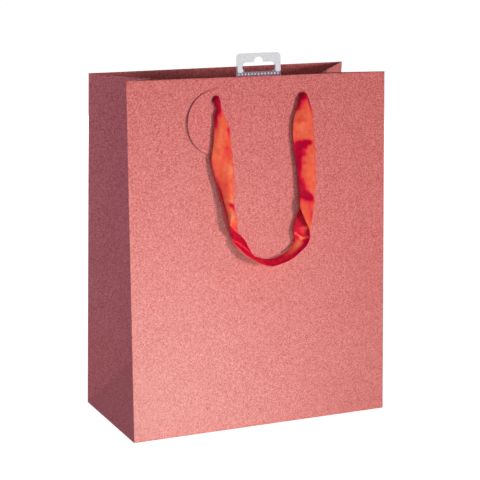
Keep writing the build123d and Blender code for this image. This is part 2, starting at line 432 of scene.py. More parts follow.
def clear_film():
    """Clear plastic film with fine scratches, with painted highlights beside the ends of its slot and along
    its line of cuts.
    """
    tree = Nodes("clear_film")
    rough = tree.ramp(tree.noise(500.0, 4.0), 0.35, 0.75, 0.08, 0.30)
    place = tree.add("ShaderNodeSeparateXYZ", {0: tree.place()})
    across = place.outputs[0]
    up = place.outputs[2]
    # painted highlight: a rounded patch beside each end of the slot, painted nearly white and nearly opaque
    aside = tree.math("ABSOLUTE", tree.math("SUBTRACT", across, slot_highlight_middle * MM))
    aside = tree.math("SUBTRACT", aside, slot_highlight_across * MM)
    aside = tree.math("DIVIDE", aside, slot_highlight_half_width * MM)
    above = tree.math("SUBTRACT", up, slot_highlight_up * MM)
    above = tree.math("DIVIDE", above, slot_highlight_half_height * MM)
    far = tree.math("ADD", tree.math("POWER", aside, 4.0), tree.math("POWER", above, 4.0))
    painted_slot_highlight = tree.ramp(far, 0.6, 1.4, 1.0, 0.0)
    # painted highlights: small bright spots along the line of cuts at the fold
    beat = tree.math("COSINE", tree.math("MULTIPLY", across, 2 * math.pi / (perforation_pitch * MM)))
    line = tree.math("ABSOLUTE", tree.math("SUBTRACT", up, perforation_height * MM))
    near = tree.ramp(line, 0.6 * MM, 0.95 * MM, 1.0, 0.0)
    dots = tree.math("MULTIPLY", tree.ramp(beat, 0.1, 0.6), near)
    # wherever a painted highlight lies, the film is painted nearly white and nearly opaque
    white = tree.math("MAXIMUM", painted_slot_highlight, dots)
    high = tree.ramp(up, 334.0 * MM, 338.0 * MM)
    haze = tree.ramp(high, 0.0, 1.0, 0.45, 0.34)
    grey = tree.mix(high, (0.42, 0.36, 0.44, 1), (0.60, 0.60, 0.61, 1))
    return tree.shade(
        Base_Color=tree.mix(white, grey, (0.95, 0.95, 0.96, 1)),
        Roughness=rough,
        Alpha=tree.ramp(white, 0.0, 1.0, haze, 0.96),
        Specular_IOR_Level=0.5,
        Normal=tree.bump(tree.noise(90.0, 2.0), 0.2 * MM, 0.4),
    )


def clear_adhesive():
    tree = Nodes("clear_adhesive")
    bubbles = tree.noise(700.0, 2.0)
    return tree.shade(
        Base_Color=(0.72, 0.70, 0.64, 1),
        Roughness=tree.ramp(bubbles, 0.3, 0.7, 0.3, 0.6),
        Alpha=0.5,
        Normal=tree.bump(bubbles, 0.05 * MM, 0.6),
    )


glitter = glitter_paper("glitter_paper", glitter_tint)
tag_glitter = glitter_paper("tag_glitter", tag_tint)
white_paper = plain_paper()
cut_edge = plain_paper("cut_edge", (0.55, 0.42, 0.40, 1), (0.74, 0.60, 0.57, 1))
tag_back = plain_paper("tag_back", (0.66, 0.60, 0.58, 1), (0.80, 0.76, 0.73, 1))
flap_paper = two_sided_paper()
card = greyboard()
ribbon_satin = satin()
film = clear_film()
adhesive = clear_adhesive()


# ---------------------------------------------------------------- the paper shell


def fold_corners():
    """The base corners, rim corners, apexes and crease tops of the folded sheet."""
    names = {"front_left": (-1, -1), "front_right": (1, -1)}
    names.update(back_right=(1, 1), back_left=(-1, 1))
    base = {}
    rim = {}
    for name, (x, y) in names.items():
        base[name] = np.array([x * half_width, y * half_depth, 0.0])
        top = np.array([x * half_width, y * (half_depth - lean), height])
        rim[name] = top + np.array(rim_shift[name])
    inset = half_width - apex_corner[0].x / MM
    apex_height = apex_corner[1].z / MM
    apex = {side: np.array([side * (half_width - inset), 0.0, apex_height]) for side in (-1, 1)}
    crease = {-1: np.array(left_crease), 1: np.array(right_crease)}
    return base, rim, apex, crease


base_corner, rim_corner, apex_point, crease_top = fold_corners()
turn = 2 * half_width  # flat-pattern place of the front right fold
around = 4 * (half_width + half_depth)
segments = [
    # start, first corner, last corner; a gusset half has a side and whether it starts at the fold
    (0.0, "front_left", "front_right", 0),
    (turn, "front_right", None, 1),
    (turn + half_depth, None, "back_right", 1),
    (turn + 2 * half_depth, "back_right", "back_left", 0),
    (2 * turn + 2 * half_depth, "back_left", None, -1),
    (2 * turn + 3 * half_depth, None, "front_left", -1),
]
inward = {0.0: (0, 1, 0), turn: (-1, 0, 0), turn + half_depth: (-1, 0, 0)}
inward.update({turn + 2 * half_depth: (0, -1, 0)})
inward.update({2 * turn + 2 * half_depth: (1, 0, 0), 2 * turn + 3 * half_depth: (1, 0, 0)})


def panel_sheet(first, last, share, v):
    t = (v / panel_length)[..., None]
    low = base_corner[first] + (base_corner[last] - base_corner[first]) * share
    high = rim_corner[first] + (rim_corner[last] - rim_corner[first]) * share
    return low + (high - low) * t


def gusset_sheet(corner, side, share, v):
    """A gusset half: its bottom triangle lies in one plane, and the rest runs up to the rim."""
    foot, top = base_corner[corner], rim_corner[corner]
    apex, crease = apex_point[side], crease_top[side]
    middle = np.array([side * half_width, 0.0, 0.0])
    v = v[..., None]
    triangle = foot + share * (middle - foot) + v / half_depth * (apex - middle)
    start = half_depth * share
    low = foot + share * (apex - foot)
    high = top + share * (crease - top)
    upper = low + (high - low) * (v - start) / (panel_length - start)
    return np.where(v < start, triangle, upper)


def crisp(a, v):
    """The folded sheet with sharp folds: a runs round the bag and v up it, in the flat pattern."""
    a = np.mod(a, around)
    made = np.zeros(a.shape + (3,))
    raised = np.maximum(v, 0.0)
    under = np.maximum(-v, 0.0)[..., None]
    for start, first, last, side in segments:
        length = turn if side == 0 else half_depth
        chosen = (a >= start) & (a < start + length)
        share = ((a - start) / length)[..., None]
        if side == 0:
            place = panel_sheet(first, last, share, raised)
        elif first:
            place = gusset_sheet(first, side, share, raised)
        else:
            place = gusset_sheet(last, side, 1 - share, raised)
        place = place + under * np.array(inward[start])
        made = np.where(chosen[..., None], place, made)
    return made


def rounded(a, v):
    """The folded sheet with its folds rounded, as an average over a small square of paper."""
    steps = np.linspace(-fold_softness, fold_softness, 5)
    total = 0
    for da in steps:
        for dv in steps:
            total = total + crisp(a + da, v + dv)
    return total / len(steps) ** 2


def sheet_normal(a, v):
    step = 0.3
    along = rounded(a + step, v) - rounded(a - step, v)
    up = rounded(a, v + step) - rounded(a, v - step)
    normal = np.cross(along, up)
    return normal / np.linalg.norm(normal, axis=-1)[..., None]


def fold_distance(a, folds):
    """How far a is from the nearest of these folds."""
    gaps = [np.abs(np.mod(a - fold + around / 2, around) - around / 2) for fold in folds]
    return np.minimum.reduce(gaps)


corner_folds = (0.0, turn, turn + 2 * half_depth, 2 * turn + 2 * half_depth)
crease_folds = (turn + half_depth, 2 * turn + 3 * half_depth)


def unevenness(a, v):
    """How far the paper bows in or out, in millimetres: nothing at folds, at the rim or at the foot."""
    t = np.clip(v / panel_length, 0, 1)
    edge = np.clip(fold_distance(a, corner_folds + crease_folds) / 40, 0, 1)
    edge = edge * edge * (3 - 2 * edge)
    ends = np.sin(math.pi * t) ** 0.7
    x = np.mod(a, around) / 100.0
    y = v / 100.0
    wave = np.sin(2.1 * x + 0.9 * y + 0.6) + 0.7 * np.sin(1.3 * x - 2.6 * y + 2.0)
    wave = wave + 0.45 * np.sin(4.7 * x + 3.1 * y)
    gusset = (np.mod(a, turn + 2 * half_depth) > turn).astype(float)
    amount = 0.30 + 0.45 * gusset
    return edge * ends * (amount * wave - 0.65)


def stack_at(a):
    """How thick the rim is: card fills it on the panels, apart from their ends."""
    on_panel = np.mod(a, turn + 2 * half_depth) < turn
    clear = np.clip((fold_distance(a, corner_folds) - 4) / 6, 0, 1)
    share = clear * clear * (3 - 2 * clear)
    return np.where(on_panel, plain_stack + (rim_stack - plain_stack) * share, plain_stack)


def mitred(a, depth, mitre=1.9, reach=14.0):
    """Where a column of the turned-in rim goes: the inside of a corner is shorter than its outside."""
    moved = a.copy()
    pull = np.where(depth > paper + 0.05, depth * mitre, 0.0)
    for fold in corner_folds:
        gap = np.mod(a - fold + around / 2, around) - around / 2
        near = np.abs(gap) < reach
        size = pull + np.abs(gap) * (reach - pull) / reach
        side = np.where(gap < 0, -1.0, 1.0)
        moved = np.where(near, fold + side * size, moved)
    return moved


def shell_rows():
    """The sheet's closed profile, and where its hem ends. Each row has v and its share of half the
    rim's stack, then the depth below the outer face and its share of the same."""
    cell = half_depth / 20
    close = [0.0, 0.4, 0.8, 1.3]
    foot = close + [cell * n for n in range(1, 20)] + [half_depth - d for d in reversed(close)]
    upper = list(np.linspace(half_depth, panel_length - 4, 34)[1:])
    top = panel_length
    rows = [(-lip, 0, 0, 0), (-0.4, 0, 0, 0)]
    rows += [(v, 0, 0, 0) for v in foot + upper]
    for n in range(9):
        angle = math.pi * n / 8
        rows.append((top, math.sin(angle) - 1, 0, 1 - math.cos(angle)))
    rows += [(top - d, 0, 0, 2) for d in (4, 10, 17, 25, 31, hem_height)]
    hem_end = len(rows)
    rows += [(top - d, 0, -paper, 2) for d in (hem_height, 25, 12, 4)]
    for n in range(6):
        angle = math.pi * n / 5
        rise = paper * math.sin(angle)
        rows.append((top - rise, math.sin(angle) - 1, -paper * math.cos(angle), 1 + math.cos(angle)))
    rows += [(v, 0, paper, 0) for v in reversed(foot + upper)]
    rows += [(-0.4, 0, paper, 0), (-lip, 0, paper, 0)]
    return rows, hem_end


def shell_columns():
    close = [0.0, 0.4, 0.8, 1.3, 2.2]
    cell = half_depth / 20
    half = close[:4] + [cell * n for n in range(1, 20)]
    half += [half_depth - d for d in (1.3, 0.8, 0.4)]
    wide = close + list(np.linspace(5, turn - 5, 34)) + [turn - d for d in (2.2, 1.3, 0.8, 0.4)]
    columns = []
    for start, _, _, side in segments:
        columns += [start + c for c in (wide if side == 0 else half)]
    return np.array(columns), len(half), len(wide)


def shell_points(columns, rows):
    made = []
    for v0, v_share, d0, d_share in rows:
        a = columns.copy()
        half_stack = stack_at(a) / 2
        v = v0 + v_share * half_stack
        depth = d0 + d_share * half_stack
        folded = d_share > 0
        if folded:
            sides = []
            for nudge in (-0.01, 0.01):
                b = mitred(a + nudge, depth)
                flat = crisp(b, v)
                along = crisp(b + 0.005, v) - crisp(b - 0.005, v)
                up = crisp(b, v + 0.05) - crisp(b, v - 0.05)
                normal = np.cross(along, up)
                normal /= np.linalg.norm(normal, axis=-1)[..., None]
                sides.append(flat + normal * (unevenness(b, v) - depth)[..., None])
            thin = np.clip(1 - depth / (paper + 0.05), 0, 1)[..., None]
            soft = rounded(a, v) + sheet_normal(a, v) * (unevenness(a, v) - depth)[..., None]
            made.append(soft * thin + (sides[0] + sides[1]) / 2 * (1 - thin))
        else:
            shift = (unevenness(a, v) - depth)[..., None]
            made.append(rounded(a, v) + sheet_normal(a, v) * shift)
    return np.array(made)


def hole_cutter(side):
    """The two holes of a panel, as one mesh to punch them with."""
    sides = 24
    points = []
    faces = []
    for across in (-hole_across, hole_across):
        start = len(points)
        for out in (-6.0, 4.0):
            for n in range(sides):
                angle = 2 * math.pi * n / sides
                x = across + hole_radius * math.cos(angle)
                up = hole_up + hole_radius * math.sin(angle)
                points.append(panel_point(x, up, out, side))
        for n in range(sides):
            here, there = start + n, start + (n + 1) % sides
            faces.append((here, there, there + sides, here + sides))
        faces.append(tuple(start + n for n in reversed(range(sides))))
        faces.append(tuple(start + sides + n for n in range(sides)))
    return new_piece(f"cutter{side}", points, outward(points, faces), [cut_edge])


def paper_shell():
    """The one sheet of paper that the bag is folded from, with its rim turned in."""
    rows, hem_end = shell_rows()
    columns, half_count, wide_count = shell_columns()
    points = shell_points(columns, rows)
    starts = np.cumsum([0] + [wide_count if s[3] == 0 else half_count for s in segments])

    def split(row, column):
        """Cells in the foot of a gusset that the slanting fold crosses."""
        level = row - 2
        if not 0 <= level < half_count:
            level = len(rows) - 4 - row
            if not 0 <= level < half_count:
                return 0
        segment = int(np.searchsorted(starts, column, side="right")) - 1
        place = column - starts[segment]
        if segments[segment][3] == 0:
            return 0
        from_fold = segments[segment][1] is not None
        rising = 1 if row < hem_end else -1
        if from_fold and place == level:
            return rising
        if not from_fold and half_count - 1 - place == level:
            return -rising
        return 0

    faces, places = grid_faces(len(rows), len(columns), wrap_rows=True, split=split)
    kinds = []
    for row, _ in places:
        if row < hem_end - 1:
            kinds.append(0)
        elif row == hem_end - 1 or row == len(rows) - 1:
            kinds.append(2)
        else:
            kinds.append(1)
    flat = points.reshape(-1, 3)
    shell = new_piece(
        "paper_shell", flat, outward(flat, faces), [glitter, white_paper, cut_edge], kinds, 30
    )
    for side in (1, -1):
        punch(shell, side)
    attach(shell, "bag")
    halves = [f"{s}_gusset_{h}" for s in ("right", "left") for h in ("front", "rear")]
    hems = ["front_hem", "back_hem", "right_front_hem", "right_rear_hem"]
    hems += ["left_front_hem", "left_rear_hem"]
    triangles = ["right_gusset_triangle", "left_gusset_triangle"]
    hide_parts("front_panel", "back_panel", *halves, *triangles, *hems)
    return shell


def rim_card(name, start, side):
    """The card strip inside the turned-in rim of a panel, with the two holes a punch makes in it."""
    a = np.linspace(start + card_side_gap, start + turn - card_side_gap, 40)
    top = panel_length - paper
    v = np.linspace(top - card_height, top, 6)
    low = paper + 0.02
    high = low + rim_stack - 2 * paper - 0.04
    profile = [(up, low) for up in v] + [(up, high) for up in reversed(v)]
    points = []
    for up, depth in profile:
        level = np.full_like(a, up)
        shift = (unevenness(a, level) - depth)[:, None]
        points.append(rounded(a, level) + sheet_normal(a, level) * shift)
    rings = np.array(points).transpose(1, 0, 2)
    count = len(profile)
    faces, _ = grid_faces(len(a), count)
    faces.append(tuple(range(count)))
    faces.append(tuple((len(a) - 1) * count + n for n in reversed(range(count))))
    flat = rings.reshape(-1, 3)
    strip = new_piece(name, flat, outward(flat, faces), [card])
    punch(strip, side)
    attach(strip, "bag")
    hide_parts(name.replace("_card", "_board"))
    return strip


def punch(piece, side):
    """The ribbon's two holes, cut through a piece of the front or the back panel."""
    cutter = hole_cutter(side)
    cut = piece.modifiers.new("holes", "BOOLEAN")
    cut.object = cutter
    cut.solver = "EXACT"
    mesh = evaluated_mesh(piece)
    piece.modifiers.clear()
    piece.data = mesh
    bpy.data.objects.remove(cutter)


# ---------------------------------------------------------------- ribbons

ribbon_width = 20.5
ribbon_thickness = 0.45

# The handle from its left hole to its right one. Each station gives the two edges in panel
# coordinates (across, up, out) and how far the middle bulges (across, out).
ribbon_stations = [
    # across, up, out of one edge; across, up, out of the other; bulge across and out
    (-45.5, 307.5, -3.0, -42.5, 307.5, -3.0, 0.0, 0.6),
    (-45.0, 309.5, 0.5, -42.0, 309.5, 0.5, 0.0, 0.6),
    (-45.0, 311.0, 2.0, -42.0, 311.0, 2.0, 0.0, 1.4),
    (-47.0, 307.0, 3.0, -40.5, 306.5, 3.0, 0.2, 2.6),
    (-44.5, 299.5, 3.0, -39.5, 299.0, 3.0, 0.3, 2.0),
    (-46.5, 293.0, 3.5, -37.0, 292.5, 3.5, 0.0, 2.2),
    (-46.5, 286.5, 3.5, -33.5, 286.0, 3.5, 0.0, 2.6),
    (-47.5, 280.0, 4.0, -32.0, 279.5, 4.0, 0.0, 2.2),
    (-48.5, 267.5, 4.0, -31.0, 266.5, 4.0, 0.0, 1.6),
    (-50.5, 254.5, 4.0, -29.5, 253.5, 4.0, 0.0, 0.8),
    (-48.5, 241.5, 4.5, -29.0, 240.5, 4.5, 0.0, 1.2),
    (-44.0, 228.5, 5.0, -29.0, 227.5, 5.0, 0.0, 3.0),
    (-41.5, 218.0, 5.5, -29.5, 217.0, 5.0, 0.0, 4.2),
    (-37.5, 204.5, 6.5, -27.5, 203.5, 4.5, -0.6, 4.4),
    (-35.5, 197.0, 7.5, -26.0, 196.0, 4.5, -2.4, 3.2),
    (-33.0, 191.5, 8.5, -26.0, 190.5, 3.5, -5.0, 1.0),
    (-29.0, 187.5, 9.5, -25.0, 187.5, 3.0, -6.6, -0.6),
    (-24.0, 183.5, 8.5, -27.0, 182.5, 3.0, -6.0, -1.0),
    (-19.5, 178.5, 7.5, -30.5, 177.5, 5.0, -1.6, -3.0),
    (-14.5, 170.5, 5.0, -22.0, 167.0, 9.0, 0.6, -3.2),
    (-9.5, 163.5, 4.0, -16.0, 162.0, 10.5, 1.0, -2.2),
    (-4.0, 161.0, 3.0, -9.5, 158.0, 11.5, 0.6, -0.8),
    (2.0, 159.0, 2.5, -1.0, 154.5, 10.5, 0.0, 0.0),
    (9.5, 158.5, 2.5, 7.0, 153.0, 11.0, 0.0, 0.0),
    (16.0, 160.0, 2.5, 14.5, 154.5, 11.0, 0.0, 0.0),
    (21.5, 162.0, 2.5, 22.0, 156.5, 11.0, 0.0, 0.0),
    (27.0, 165.5, 2.5, 29.0, 159.5, 10.5, 0.8, 0.0),
    (31.5, 169.5, 2.5, 36.0, 164.0, 9.5, 1.4, -0.6),
    (33.5, 173.5, 3.0, 42.0, 168.0, 8.5, 2.0, -1.6),
    (33.0, 177.5, 3.5, 46.0, 173.0, 7.5, 1.6, -2.4),
    (32.0, 182.0, 3.5, 47.5, 178.5, 6.5, 2.4, -2.4),
    (33.0, 187.5, 3.0, 45.5, 185.0, 8.0, 8.0, 0.0),
    (34.5, 193.0, 2.5, 41.5, 193.0, 8.0, 11.6, 0.0),
    (37.0, 198.5, 2.0, 39.0, 199.5, 7.5, 13.4, 0.0),
    (40.5, 204.0, 2.0, 37.5, 204.5, 6.5, 13.6, 0.0),
    (45.0, 209.0, 2.0, 37.5, 210.0, 5.5, 12.4, 0.0),
    (50.5, 214.5, 2.0, 38.5, 215.0, 4.5, 8.0, 0.0),
    (55.0, 221.5, 2.5, 37.5, 222.5, 4.0, 1.6, 0.6),
    (55.5, 234.5, 3.0, 36.5, 236.0, 3.5, 0.0, 1.4),
    (55.0, 248.0, 3.0, 34.5, 249.5, 3.0, 0.0, 1.0),
    (54.5, 261.5, 3.0, 33.0, 262.5, 3.0, 0.0, 0.4),
    (53.5, 271.5, 3.0, 32.0, 272.5, 3.0, 0.0, 0.8),
    (53.0, 281.5, 3.0, 32.5, 282.5, 3.0, 0.0, 1.4),
    (52.5, 288.0, 3.0, 33.5, 289.0, 3.0, 0.0, 1.8),
    (51.5, 294.5, 3.0, 36.0, 295.5, 3.0, 0.0, 2.4),
    (49.5, 300.5, 3.0, 37.5, 301.0, 3.0, 0.0, 2.8),
    (48.0, 305.5, 3.0, 39.0, 305.5, 3.0, 0.0, 2.8),
    (45.5, 310.0, 2.0, 42.5, 310.5, 2.0, 0.0, 1.6),
    (45.0, 309.0, 0.5, 42.5, 309.0, 0.5, 0.0, 0.6),
    (45.5, 307.5, -3.0, 42.5, 307.5, -3.0, 0.0, 0.6),
]

# Painted highlights and shade on the ribbon's face: station, share across, reach along, reach across,
# amount
painted_face_light_and_shade = [
    (2.5, 0.5, 1.5, 1.0, -0.85),
    (4.0, 0.30, 1.0, 0.35, -0.55),
    (5.4, 0.06, 1.3, 0.14, -0.70),
    (6.9, 0.90, 0.40, 0.12, -0.55),
    (7.2, 0.35, 0.9, 0.22, 0.10),
    (8.35, 0.78, 0.55, 0.20, -0.28),
    (9.8, 0.80, 0.45, 0.18, 0.22),
    (11.0, 0.30, 0.7, 0.25, -0.20),
    (11.6, 0.80, 0.5, 0.20, 0.10),
    (12.2, 0.02, 2.0, 0.07, -0.75),
    (12.05, 0.50, 0.12, 0.16, 0.25),
    (12.12, 0.78, 0.12, 0.16, 0.30),
    (12.33, 0.48, 0.13, 0.13, -0.65),
    (12.40, 0.68, 0.13, 0.13, -0.85),
    (12.56, 0.88, 0.14, 0.14, -0.85),
    (13.15, 0.45, 0.5, 0.25, 0.28),
    (15.0, 0.85, 0.6, 0.25, -0.20),
    (33.0, 0.70, 1.4, 0.16, -0.30),
    (35.5, 0.72, 0.7, 0.20, -0.75),
    (36.2, 0.84, 0.6, 0.24, -0.80),
    (37.1, 0.95, 0.8, 0.26, -0.85),
    (38.3, 1.02, 0.9, 0.10, -0.60),
    (38.5, 0.88, 0.35, 0.12, -0.80),
    (38.8, 0.60, 0.16, 0.10, -0.30),
    (39.1, 0.84, 0.45, 0.16, -0.75),
    (39.4, 0.55, 0.20, 0.13, -0.45),
    (39.8, 0.82, 0.45, 0.20, -0.80),
    (39.95, 0.50, 0.28, 0.14, -0.60),
    (40.2, 0.72, 0.30, 0.20, -0.55),
    (40.25, 0.26, 0.24, 0.14, -0.75),
    (40.3, 0.45, 0.26, 0.16, -0.60),
    (42.6, 0.70, 0.30, 0.20, -0.22),
    (44.2, 0.65, 0.22, 0.22, -0.25),
    (44.9, 0.0, 1.1, 0.17, -0.80),
    (44.9, 1.0, 1.1, 0.17, -0.80),
    (47.3, 0.50, 1.7, 1.2, -1.0),
    (46.6, 0.68, 0.16, 0.12, 0.45),
]
# Painted highlights on the reverse of the ribbon, in the same columns
painted_back_highlights = [
    (18.0, 0.98, 1.4, 0.08, 0.55),
    (20.5, 1.0, 2.0, 0.10, 0.75),
    (26.2, 0.28, 1.3, 0.30, 0.50),
    (27.7, 0.35, 0.9, 0.28, 0.60),
    (29.75, 0.08, 0.20, 0.09, 0.85),
    (29.45, 0.22, 0.18, 0.09, 0.90),
    (29.20, 0.36, 0.18, 0.10, 0.85),
    (29.05, 0.52, 0.22, 0.10, 0.80),
    (29.25, 0.68, 0.18, 0.09, 0.80),
    (29.50, 0.84, 0.18, 0.09, 0.85),
    (28.70, 0.40, 0.30, 0.10, 0.60),
    (24.0, 0.6, 1.2, 0.25, 0.12),
]
# Creases in the ribbon: station, share across, reach along, reach across, depth in millimetres
ribbon_creases = [
    (12.8, 0.7, 0.20, 0.35, -0.9),
    (13.2, 0.5, 0.30, 0.5, 0.6),
    (28.8, 0.5, 0.25, 0.3, 0.8),
    (29.4, 0.35, 0.22, 0.2, -1.0),
    (29.5, 0.75, 0.22, 0.2, 0.6),
    (41.2, 0.6, 0.5, 0.3, -0.7),
    (42.2, 0.5, 0.4, 0.4, 0.5),
    (7.6, 0.6, 0.8, 0.3, -0.5),
    (10.6, 0.7, 0.5, 0.3, 0.5),
    (39.0, 0.3, 0.9, 0.3, 0.4),
    (44.0, 0.5, 0.5, 0.3, -0.4),
]


def patchwork(patches, station, share):
    """The sum of soft spots at each place on a ribbon."""
    total = np.zeros(np.broadcast(station, share).shape)
    for at, across, reach, width, amount in patches:
        total += amount * np.exp(-(((station - at) / reach) ** 2) - ((share - across) / width) ** 2)
    return total


def ribbon_surface(across_count, steps):
    """Points, station numbers and shares of one side of the ribbon."""
    rows = smooth_rows(ribbon_stations, steps)
    count = len(rows)
    station = (np.arange(count) / steps)[:, None]
    share = np.linspace(0, 1, across_count)[None, :]
    first = rows[:, None, 0:3]
    last = rows[:, None, 3:6]
    bulge = 4 * share * (1 - share)
    points = first + (last - first) * share[..., None]
    points[..., 0] += rows[:, 6:7] * bulge
    points[..., 2] += rows[:, 7:8] * bulge
    normal = surface_normal(points)
    chord = np.linalg.norm(rows[:, 3:6] - rows[:, 0:3], axis=1)[:, None]
    tight = np.clip(1 - chord / 14, 0, 1)
    legs = np.clip((4 - station) / 4, 0, 1) + np.clip((station - count / steps + 6) / 5, 0, 1)
    pleats = 0.55 * tight * np.clip(legs, 0, 1) * np.cos(9.0 * share * math.pi)
    creases = patchwork(ribbon_creases, station, share)
    ripple = 0.10 * np.sin(2.3 * station + 5 * share) * bulge
    points = points + normal * (pleats + creases + ripple)[..., None]
    return points, station, share


def surface_normal(points):
    along = np.gradient(points, axis=0)
    across = np.gradient(points, axis=1)
    normal = np.cross(along, across)
    return normal / np.maximum(np.linalg.norm(normal, axis=-1), 1e-9)[..., None]


def ribbon(name, side, node):
    """A handle of satin ribbon, held at its two holes."""
    across_count = 25
    steps = 8
    points, station, share = ribbon_surface(across_count, steps)
    normal = surface_normal(points)
    half = ribbon_thickness / 2
    face = points + normal * half
    reverse = (points - normal * half)[:, ::-1]
    ring = np.concatenate([face, reverse], axis=1)
    flat = ring.reshape(-1, 3)
    world = panel_point(flat[:, 0], flat[:, 1], flat[:, 2], side)
    count = 2 * across_count
    faces, _ = grid_faces(len(ring), count)
    faces.append(tuple(range(count))[::-1])
    faces.append(tuple((len(ring) - 1) * count + n for n in range(count)))
    piece = new_piece(name, world, outward(world, faces), [ribbon_satin], sharp=60)

    # painted light: the face is painted mostly in its orange highlight and the reverse mostly in crimson
    # shade, with painted patches on each
    painted_sheen_face = 0.74 + patchwork(painted_face_light_and_shade, station, share)
    painted_sheen_back = 0.20 + patchwork(painted_back_highlights, station, share)
    # painted shade: the face's sheen is painted a quarter darker along both its edges
    rim = np.clip(1 - np.minimum(share, 1 - share) / 0.03, 0, 1)
    painted_sheen_face = painted_sheen_face * (1 - 0.25 * rim)
    painted_sheen = np.concatenate([painted_sheen_face, painted_sheen_back[:, ::-1]], axis=1).reshape(-1)

    middle = points[:, across_count // 2]
    run = np.concatenate([[0], np.cumsum(np.linalg.norm(np.diff(middle, axis=0), axis=1))])
    shares = np.concatenate([share[0], share[0][::-1]])
    u = np.tile(shares * ribbon_width * MM, len(ring))
    satin_layers(piece, painted_sheen, u, np.repeat(run * MM, count))

    start = panel_point(0.0, hole_up + 0.6, 0.4, side) * MM
    end = panel_point(0.0, hole_up - 5.0, 3.6, side) * MM
    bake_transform(piece)
    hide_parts(node)
    return piece


def ribbon_knot(node, side):
    """A ribbon end behind the panel: its neck, an overhand knot and a cut tail."""
    low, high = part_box(node)
    across = side * (low.x + high.x) / 2 / MM
    back = -7.2
    turns = np.linspace(0.35, 2 * math.pi - 0.35, 90)
    loop = np.stack(
        [
            np.sin(turns) + 2 * np.sin(2 * turns),
            np.cos(turns) - 2 * np.cos(2 * turns),
            -1.5 * np.sin(3 * turns),
        ],
        -1,
    )
    knot = loop * np.array([1.15, 1.15, 1.0]) + np.array([across, hole_up - 0.5, back])
    neck = np.linspace((across, hole_up + 0.3, 0.0), knot[0], 10)[:-1]
    path = np.concatenate([neck, knot])
    radii = np.full(len(path), 1.75)
    radii[:8] = 1.6
    local, faces = tube_along(path, radii, sides=20)
    tail, tail_faces = knot_tail(knot[-1], across)
    faces = faces + [tuple(n + len(local) for n in face) for face in tail_faces]
    points = np.concatenate([np.array(local), tail])
    world = panel_point(points[:, 0], points[:, 1], points[:, 2], side)
    piece = new_piece(node + "_tied", world, faces, [ribbon_satin], sharp=60)
    # painted sheen on the knot, rising and falling in waves across it
    wave = 0.45 + 0.2 * np.sin(points[:, 0] * 1.7 + points[:, 1] * 0.9)
    satin_layers(piece, wave, points[:, 0] * MM, points[:, 1] * MM)
    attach(piece, "bag")
    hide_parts(node)
    return piece


def knot_tail(start, across):
    """The cut end of the ribbon below a knot, fanning out with soft pleats."""
    rows = 14
    columns = 15
    points = []
    for level in (0.22, -0.22):
        for row in range(rows):
            t = row / (rows - 1)
            width = 3.0 + 13.0 * t**0.7
            for column in range(columns):
                s = column / (columns - 1) - 0.5
                x = across + (start[0] - across) * (1 - t) + s * width
                up = start[1] - 22.0 * t - 1.6 * abs(s) * t
                out = start[2] * (1 - t) - 7.4 * t
                out += (1.3 - 0.7 * t) * math.cos(9 * s + 0.5) - 0.5 + level
                points.append((x, up, out))
    points = np.array(points)
    size = rows * columns
    faces = []
    for row in range(rows - 1):
        for column in range(columns - 1):
            a = row * columns + column
            faces.append((a, a + 1, a + columns + 1, a + columns))
            b = a + size
            faces.append((b, b + columns, b + columns + 1, b + 1))
    edge = list(range(columns))
    edge += [r * columns + columns - 1 for r in range(1, rows)]
    edge += [(rows - 1) * columns + c for c in range(columns - 2, -1, -1)]
    edge += [r * columns for r in range(rows - 2, 0, -1)]
    for here, there in zip(edge, edge[1:] + edge[:1]):
        faces.append((there, here, here + size, there + size))
    return points, outward(points, faces)


# ---------------------------------------------------------------- tag and hanging tab


tag_paper = 0.55
tag_clearance = 0.35
tag_hole_radius = 3.2


def gift_tag():
    """The round tag: a glitter disc with a white back, hung by its hole and slightly curled."""
    middle_x = (tag_box[0].x + tag_box[1].x) / 2 / MM
    radius = (tag_box[1].x - tag_box[0].x) / 2 / MM
    middle_up = panel_up(tag_box[1]) - radius
    rings = 14
    sides = 96
    profile = [(n / rings, tag_paper) for n in range(rings + 1)]
    profile += [(n / rings, 0.0) for n in range(rings, -1, -1)]
    points = []
    for share, level in profile:
        for n in range(sides):
            angle = 2 * math.pi * n / sides
            direction = np.array([math.cos(angle), math.sin(angle)])
            hole = np.array([-hole_across, hole_up]) + tag_hole_radius * direction
            rim = np.array([middle_x, middle_up]) + radius * direction
            x, up = hole + (rim - hole) * share
            curl = 1.3 * max(0.0, (middle_x - 6 - x) / radius) ** 2
            curl += 0.25 * max(0.0, (x - middle_x - 8) / radius) ** 2
            points.append(panel_point(x, up, tag_clearance + level + curl))
    points = np.array(points)
    faces, places = grid_faces(len(profile), sides, wrap_rows=True)
    kinds = [0 if row < rings else (2 if row == rings else 1) for row, _ in places]
    kinds = [2 if row == len(profile) - 1 else kind for kind, (row, _) in zip(kinds, places)]
    materials = [tag_glitter, tag_back, cut_edge]
    tag = new_piece("round_tag", points, outward(points, faces), materials, kinds, 40)
    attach(tag, "tag")
    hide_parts("gift_tag")
    return tag


def tab_outline(low_x, high_x, low_y, high_y, top_radius, foot_radius, steps=8):
    """A rectangle with well rounded top corners and nearly square lower ones."""
    points = []
    corners = ((high_x, high_y, 0), (low_x, high_y, 90), (low_x, low_y, 180), (high_x, low_y, 270))
    for x, y, start in corners:
        radius = top_radius if y == high_y else foot_radius
        centre_x = x - math.copysign(radius, x)
        centre_y = y - radius if y == high_y else y + radius
        for n in range(steps + 1):
            angle = math.radians(start + 90 * n / steps)
            points.append((centre_x + radius * math.cos(angle), centre_y + radius * math.sin(angle)))
    return points


